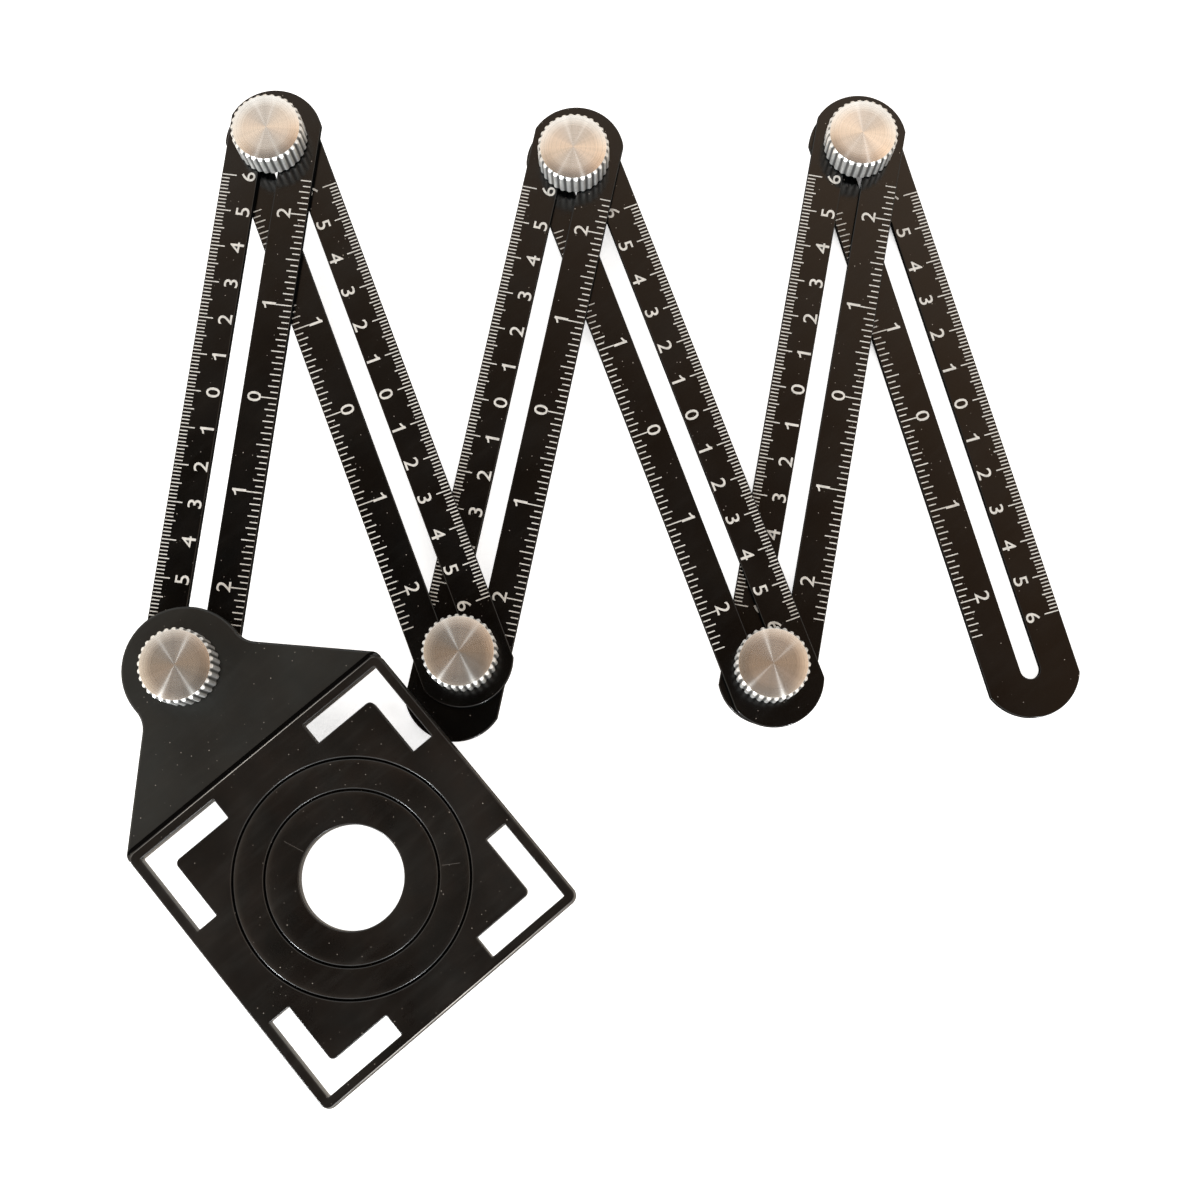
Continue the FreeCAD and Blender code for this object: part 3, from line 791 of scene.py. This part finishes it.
def window_arcs(plate):
    """One L-shaped window, traced clockwise: its outer corners are nearly sharp."""
    far = plate.side / 2 - plate.window_margin
    near = far - plate.window_width
    end = plate.window_bridge / 2
    nip = 0.25 * MM
    bend = plate.window_bend
    return [
        (far - nip, far - nip, nip, 90, 0),
        (far - nip, end + nip, nip, 0, -90),
        (near + nip, end + nip, nip, -90, -180),
        (near - bend, near - bend, bend, 0, 90),
        (end + nip, near + nip, nip, -90, -180),
        (end + nip, far - nip, nip, 180, 90),
    ]


def seat_wall(plate):
    """The stepped seat of the outer ring, from the underside up."""
    ledge, step, nip = plate.ledge_height, plate.ledge_width, plate.hole_round
    lower = [[-step + nip, INK_ROOM], [-step, INK_ROOM + nip], [-step, ledge], [0, ledge]]
    return np.concatenate([lower, upper_edge(plate.thickness, plate.seam_round)])


def bracket_arcs(plate):
    """The bracket's outline: 45 degree gussets, hollow flares and the round lug.

    A flare's centre is its radius off the gusset's line and its radius plus the lug's from the lug.
    """
    half = plate.side / 2
    apart = plate.lug_radius + plate.flare_radius
    across = (plate.side - plate.reach) + plate.flare_radius * math.sqrt(2)
    flare_x = across / 2 + math.sqrt(apart ** 2 / 2 - across ** 2 / 4)
    flare_y = plate.reach + across - flare_x
    touch = math.degrees(math.atan2(flare_y - plate.reach, flare_x))
    root = half - plate.window_margin / 2
    corner_x = half - plate.corner_radius
    corner_y = half - plate.corner_radius * math.tan(math.radians(22.5))
    nip = 0.3 * MM
    return [
        (half - nip, root + nip, nip, -90, 0),
        (corner_x, corner_y, plate.corner_radius, 0, 45),
        (flare_x, flare_y, plate.flare_radius, 225, 180 + touch),
        (0, plate.reach, plate.lug_radius, touch, 180 - touch),
        (-flare_x, flare_y, plate.flare_radius, -touch, -45),
        (-corner_x, corner_y, plate.corner_radius, 135, 180),
        (-half + nip, root + nip, nip, 180, 270),
    ]


class RULER_OT_guide_plate(bpy.types.Operator):
    """Make the guide plate and its bracket"""
    bl_idname = "folding_ruler.guide_plate"
    bl_label = "Make Guide Plate"

    def execute(self, context):
        settings = context.scene.folding_ruler
        plate, finish = settings.plate, settings.finish
        half, top = plate.side / 2, plate.thickness
        deck_black = black_finish("moulded_black", finish.plastic, gloss=0.30, grain=0.10, film=0.015)
        bracket_black = black_finish("bracket_black", finish.bracket, gloss=0.42, grain=0.12, film=0.008)
        # Painted shade: a darker, dull copy of the plastic in the hollow beside the bracket, where the
        # step casts its shadow.
        painted_shade_black = matt_finish("painted_shade_black", [channel * 0.3 for channel in finish.plastic])
        # A pale highlight painted along the plate's top rims.
        painted_highlight_black = worn_finish("painted_highlight_black", finish.plastic, finish.worn, half)
        corner = plate.corner_radius
        inset = half - corner
        points, normals = arc_path([
            (inset, inset, corner, 0, 90), (-inset, inset, corner, 90, 180),
            (-inset, -inset, corner, 180, 270), (inset, -inset, corner, 270, 360),
        ], 6.0)
        base, push = deck_wall(plate)
        # Full along the bracket's side and fading out round the two corners beside it.
        beside = np.clip((normals[:, 1] - 0.3) / 0.6, 0, 1)
        profile = np.repeat(base[:, None], len(points), axis=1)
        profile[..., 0] -= push[:, None] * beside
        loops = [((points, normals), profile)]
        window = [np.pad(part, ((0, 0), (0, 1))) for part in arc_path(window_arcs(plate), 9.0)]
        window_wall = rounded_wall(INK_ROOM, top, plate.hole_round, plate.window_round)
        for quarter in range(4):
            spun = [turn(part, (0, 0, 0), quarter * math.pi / 2)[:, :2] for part in window]
            loops.append((spun, window_wall))
        loops.append((round_hole(0, plate.outer_seam, 2.5), seat_wall(plate)))

        def material_of(centres, facing):
            """The rim with its painted highlight is 2, the step beside the bracket with its painted shade
            is 1, and all else 0.
            """
            # The hollow beside the bracket carries the painted shade.
            step = (centres[:, 1] > half) & (facing[:, 2] > 0.02)
            outer = np.abs(centres[:, 1]) > half - 1 * MM
            # The top rounds of the two long rims carry the painted highlight.
            rim = outer & (np.abs(facing[:, 1]) > 0.2) & (centres[:, 2] > top - 0.8 * plate.rim_round)
            return np.where(rim, 2, np.where(step, 1, 0))

        slab("plate_deck", loops, "guide_plate", [deck_black, painted_shade_black, painted_highlight_black],
             ["guide_plate"], material_of=material_of)
        low, deck = INK_ROOM + BRACKET_RISE, plate.bracket_thickness
        bracket = arc_path(bracket_arcs(plate), 4.0)
        hole = round_hole(plate.reach, plate.hole_radius, 15.0)
        slab("plate_bracket", [(bracket, rounded_wall(low, deck, plate.foot_round, plate.edge_round)),
                               (hole, rounded_wall(low, deck, plate.hole_round, plate.hole_round))],
             "guide_plate", [bracket_black])
        return {"FINISHED"}


class RULER_OT_rings(bpy.types.Operator):
    """Make the two lift-out rings"""
    bl_idname = "folding_ruler.rings"
    bl_label = "Make Rings"

    def execute(self, context):
        settings = context.scene.folding_ruler
        plate = settings.plate
        material = black_finish("ring_black", settings.finish.plastic, gloss=0.28, grain=0.10, film=0.015)
        knit = black_finish("knit_line", settings.finish.knit, gloss=0.35, grain=0.1, film=0.0, dust=0.0)
        top, ledge, step = plate.thickness, plate.ledge_height, plate.ledge_width
        low, soft, small = INK_ROOM, plate.seam_round, 0.12 * MM
        crown_drop, crown_width, crown_round = 0.06 * MM, 1.9 * MM, 0.5 * MM
        knit_height, knit_start, knit_end = 0.03 * MM, 0.6 * MM, 2.3 * MM
        for name, outer, inner, seated, heading in (
                ("outer_ring", plate.outer_seam, plate.inner_seam, True, -32.5),
                ("inner_ring", plate.inner_seam, plate.bore, False, 112.2)):
            rim = outer - plate.seam_gap
            section = [(rim - step, low, small), (rim - step, ledge, 0), (rim, ledge, small),
                       (rim, top - crown_drop, soft), (rim - crown_width, top, crown_round),
                       (inner, top, soft)]
            if seated:
                section += [(inner, ledge, 0), (inner - step, ledge, small), (inner - step, low, small)]
            else:
                section += [(inner, low, small)]
            ring = lathe(f"{name}_turned", *rounded_section(section), (0, 0, 0), name, "plate_black",
                         [material], [name])
            smooth_piece(ring)
            start, end = inner + knit_start, rim - knit_end
            line = BOX_CORNERS * [plate.knit_width, end - start, knit_height] + [0, start, top]
            line = turn(line, (0, 0, 0), math.radians(heading - 90))
            smooth_piece(new_piece(f"{name}_knit_line", line, BOX_FACES, name, [knit]))
        return {"FINISHED"}


def make_nut(piece_name, body, foot, height, nut, materials):
    """A nut whose radius is the lesser of the turned profile's and the toothed rim's.

    The crown's four rows fall a little towards its bevel. Between two teeth the rim goes in by the
    flutes' depth times (1 + cos) / 2, to the power 1.3.
    """
    samples_per_flute = 10
    steps = nut.flute_count * samples_per_flute
    angle = np.linspace(0, 2 * math.pi, steps, endpoint=False)
    depth = ((1 + np.cos(angle * nut.flute_count)) / 2) ** 1.3
    fluted = nut.radius - nut.flute_depth * depth
    rim, crown, sole, soft = nut.radius, nut.crown_bevel, nut.foot_bevel, nut.soft_edge
    crown_rows = 4
    profile = np.array([
        (0.0, height), (rim * 0.3, height), (rim * 0.6, height - 0.01 * MM),
        (rim - crown - soft, height - 0.03 * MM), (rim - crown, height - 0.07 * MM),
        (rim - crown * 0.5, height - 0.1 * MM - crown * 0.5), (rim - soft * 0.4, height - crown),
        (rim, height - crown - soft), (rim, height * 0.5), (rim, sole + soft),
        (rim - soft * 0.4, sole), (rim - sole, soft * 0.4), (rim - sole - soft, 0.0),
        (nut.bore + soft, 0.0), (nut.bore, soft), (nut.bore, nut.bore_depth), (0.0, nut.bore_depth),
    ])
    radius = np.minimum(profile[:, :1], np.where(profile[:, :1] > nut.bore * 2, fluted[None], 1.0))
    piece = lathe(piece_name, radius, profile[:, 1:], foot, body, "nut_silver", materials, [body],
                  steps, closed=False)
    mesh = piece.data
    row, column = np.divmod(np.arange(len(mesh.polygons)), steps)
    mesh.polygons.foreach_set("material_index", (row >= crown_rows).astype(np.int32))
    share = np.append(angle, angle[0] + 2 * math.pi) / (2 * math.pi)
    around = np.stack([share[column], share[column + 1], share[column + 1], share[column]], axis=1)
    reach = (profile[:, 0] / rim)[np.stack([row, row, row + 1, row + 1], axis=1)]
    layer = mesh.uv_layers.new(name="around")
    layer.data.foreach_set("uv", np.stack([around, reach], axis=-1).astype(np.float32).ravel())
    # The flute depth, from which the fluted finish paints shade into the valleys.
    valley = mesh.attributes.new("valley", "FLOAT", "POINT")
    valley.data.foreach_set("value", np.tile(depth, len(profile)).astype(np.float32))
    with edited(mesh) as work:
        bmesh.ops.remove_doubles(work, verts=work.verts, dist=1e-7)
    smooth_piece(piece, 28.0)


class RULER_OT_thumb_nuts(bpy.types.Operator):
    """Make the six fluted thumb nuts"""
    bl_idname = "folding_ruler.thumb_nuts"
    bl_label = "Make Thumb Nuts"

    def execute(self, context):
        settings = context.scene.folding_ruler
        materials = [spun_finish(settings.finish.turned), fluted_finish(settings.finish.fluted)]
        for number in range(1, ARM_COUNT + 1):
            name = f"thumb_nut_{number}"
            middle, high = node_middle(name)
            make_nut(f"{name}_turned", name, middle, high - middle[2], settings.nut, materials)
        return {"FINISHED"}


class RULER_OT_hardware(bpy.types.Operator):
    """Finish the bolts and make the washers, which slide just above the printed ink"""
    bl_idname = "folding_ruler.hardware"
    bl_label = "Finish Bolts and Make Washers"

    def execute(self, context):
        steel = steel_finish(context.scene.folding_ruler.finish.steel)
        washer = context.scene.folding_ruler.washer
        for number in range(1, ARM_COUNT + 1):
            bolt = frame["nodes"][f"slot_bolt_{number}"]
            bolt.data.materials.clear()
            bolt.data.materials.append(steel)
            name = f"washer_{number}"
            foot, top = node_middle(name)
            rise, edge = top - foot[2], washer.edge_round
            section = rounded_section([
                (washer.bore, INK_ROOM, edge), (washer.radius, INK_ROOM, edge),
                (washer.radius, rise, edge), (washer.bore, rise, edge),
            ], 3)
            carrier = "slot_bolt_1" if number == 1 else name
            pressed = lathe(f"{name}_pressed", *section, foot, carrier, "hardware_steel", [steel], [name],
                            steps=96)
            smooth_piece(pressed, 60.0)
        return {"FINISHED"}


def make_floor():
    """A wide pale floor just under the lowest bolt head.

    The camera sees it white, less the light that the ruler takes from it, and gloss sees it warm.
    """
    low, high = CAD_BOX
    x, y = ((low[axis] + high[axis]) / 2 for axis in range(2))
    square = ((-1, -1), (1, -1), (1, 1), (-1, 1))
    corners = [(x + across * FLOOR_HALF, y + along * FLOOR_HALF, low[2] - FLOOR_DROP)
               for across, along in square]
    mesh = bpy.data.meshes.new("floor")
    mesh.from_pydata(corners, [], [(0, 1, 2, 3)])
    floor = put("floor", mesh)
    material = bpy.data.materials.new("floor_white")
    material.use_nodes = True
    material.node_tree.nodes.clear()
    nodes = Nodes(material.node_tree)
    ray = nodes.add("LightPath").outputs
    shade = nodes.blend(ray["Is Glossy Ray"], rgba(FLOOR_MATT), rgba(FLOOR_IN_GLOSS))
    matt = nodes.add("BsdfDiffuse", {"Color": shade}).outputs[0]
    gap = nodes.add("AmbientOcclusion", {"Distance": 60 * MM}, samples=8).outputs["AO"]
    strength = nodes.math("MULTIPLY", ray["Is Camera Ray"], nodes.ramp(gap, 0.03, 0.15, 0.0, 0.86))
    glow = nodes.add("Emission", {"Color": rgba(WHITE), "Strength": strength}).outputs[0]
    surface = nodes.add("AddShader", {0: matt, 1: glow}).outputs[0]
    nodes.add("OutputMaterial", {"Surface": surface})
    mesh.materials.append(material)


def make_world(studio):
    """A pale room under a brown ceiling, brighter along the window's line; the camera sees white."""
    world = bpy.data.worlds.new("studio")
    world.use_nodes = True
    world.node_tree.nodes.clear()
    nodes = Nodes(world.node_tree)
    seen_from = nodes.add("TexCoord").outputs["Generated"]
    height = nodes.add("SeparateXYZ", {0: seen_from}).outputs["Z"]

    def towards(heading):
        """The cosine of the angle between the direction seen and a level heading."""
        level = (math.cos(heading), math.sin(heading), 0)
        return nodes.add("VectorMath", {0: seen_from, 1: level}, operation="DOT_PRODUCT").outputs["Value"]

    colours = nodes.add("ValToRGB", {"Fac": height})
    stops = colours.color_ramp.elements
    for level, _ in ROOM_COLOURS[1:-1]:
        stops.new(level)
    for stop, (_, colour) in zip(stops, ROOM_COLOURS):
        stop.color = rgba(colour)
    along = towards(studio.window_heading)
    squared = nodes.math("POWER", along, 2.0)
    tint = nodes.blend(nodes.ramp(squared, 0.0, 0.35), rgba(ACROSS_TINT), rgba(WHITE))
    tinted = nodes.blend(1.0, colours.outputs["Color"], tint, mode="MULTIPLY")
    strength = nodes.ramp(squared, 0.0, 1.0, studio.room_low, studio.room_high)
    leaning = nodes.math("MULTIPLY_ADD", along, studio.room_lean, strength)
    lean = towards(studio.ceiling_heading)
    ceiling = nodes.ramp(lean, 0.0, 0.4, studio.ceiling_low, studio.ceiling_high)
    overhead = nodes.ramp(height, 0.82, 0.94)
    share = nodes.add("Mix", {"Factor": overhead, "A": 1.0, "B": ceiling}).outputs["Result"]
    level = nodes.math("MULTIPLY", leaning, share)
    room = nodes.add("Background", {"Color": tinted, "Strength": level}).outputs[0]
    backdrop = nodes.add("Background", {"Color": rgba(WHITE)}).outputs[0]
    camera_ray = nodes.add("LightPath").outputs["Is Camera Ray"]
    surface = nodes.add("MixShader", {0: camera_ray, 1: room, 2: backdrop}).outputs[0]
    nodes.add("OutputWorld", {"Surface": surface})
    return world


def hang_lamp(name, kind, rotation, **settings):
    """A lamp of the daylight's colour, turned to its place."""
    light = bpy.data.lights.new(name, type=kind)
    light.color = DAYLIGHT
    for key, value in settings.items():
        setattr(light, key, value)
    lamp = put(name, light)
    lamp.rotation_euler = rotation
    return lamp


def make_far_lamp(studio):
    """A distant lamp that only gloss shows, at a heading and a rise; its own -Z points at the ruler."""
    rotation = (0, math.pi / 2 - studio.sun_rise, studio.sun_heading)
    lamp = hang_lamp("far_lamp", "SUN", rotation, energy=studio.sun_strength, angle=studio.sun_spread)
    lamp.visible_diffuse = False


def make_near_lamp(studio):
    """A small round lamp beside the ruler; its own -Z points at its aim."""
    aim = Vector(studio.lamp_aim) - Vector(studio.lamp_place)
    lamp = hang_lamp("near_lamp", "AREA", aim.to_track_quat("-Z", "Y").to_euler(), shape="DISK",
                     size=studio.lamp_size, energy=studio.lamp_power)
    lamp.location = studio.lamp_place


class RULER_OT_studio(bpy.types.Operator):
    """Set up the floor, the light and the camera"""
    bl_idname = "folding_ruler.studio"
    bl_label = "Set Up Studio"

    def execute(self, context):
        scene = context.scene
        studio = scene.folding_ruler.studio
        make_floor()
        scene.world = make_world(studio)
        make_far_lamp(studio)
        make_near_lamp(studio)
        camera = bpy.data.cameras.new("photo_camera")
        camera.lens = studio.camera_lens
        camera.sensor_width = 36.0
        stand = put("photo_camera", camera)
        stand.location = studio.camera_place
        stand.rotation_euler = studio.camera_turn
        scene.camera = stand
        scene.view_settings.view_transform = "Standard"
        return {"FINISHED"}


class RULER_PT_panel(bpy.types.Panel):
    """Lists the steps that dress the ruler"""
    bl_idname = "RULER_PT_panel"
    bl_label = "Folding Ruler"
    bl_space_type = "VIEW_3D"
    bl_region_type = "UI"
    bl_category = "Folding Ruler"

    def draw(self, context):
        for operator in STEPS:
            self.layout.operator(operator.bl_idname)


SETTINGS = (ArmSettings, ScaleSettings, PlateSettings, NutSettings, WasherSettings, FinishSettings,
            StudioSettings, FoldingRulerSettings)
STEPS = (RULER_OT_strips, RULER_OT_scales, RULER_OT_guide_plate, RULER_OT_rings, RULER_OT_thumb_nuts,
         RULER_OT_hardware, RULER_OT_studio)


def register():
    for cls in (*SETTINGS, *STEPS, RULER_PT_panel):
        bpy.utils.register_class(cls)
    bpy.types.Scene.folding_ruler = PointerProperty(type=FoldingRulerSettings)


def unregister():
    del bpy.types.Scene.folding_ruler
    for cls in reversed((*SETTINGS, *STEPS, RULER_PT_panel)):
        bpy.utils.unregister_class(cls)


def main():
    register()
    bpy.ops.folding_ruler.strips()
    bpy.ops.folding_ruler.scales()
    bpy.ops.folding_ruler.guide_plate()
    bpy.ops.folding_ruler.rings()
    bpy.ops.folding_ruler.thumb_nuts()
    bpy.ops.folding_ruler.hardware()
    bpy.ops.folding_ruler.studio()


if __name__ == "__main__":
    main()
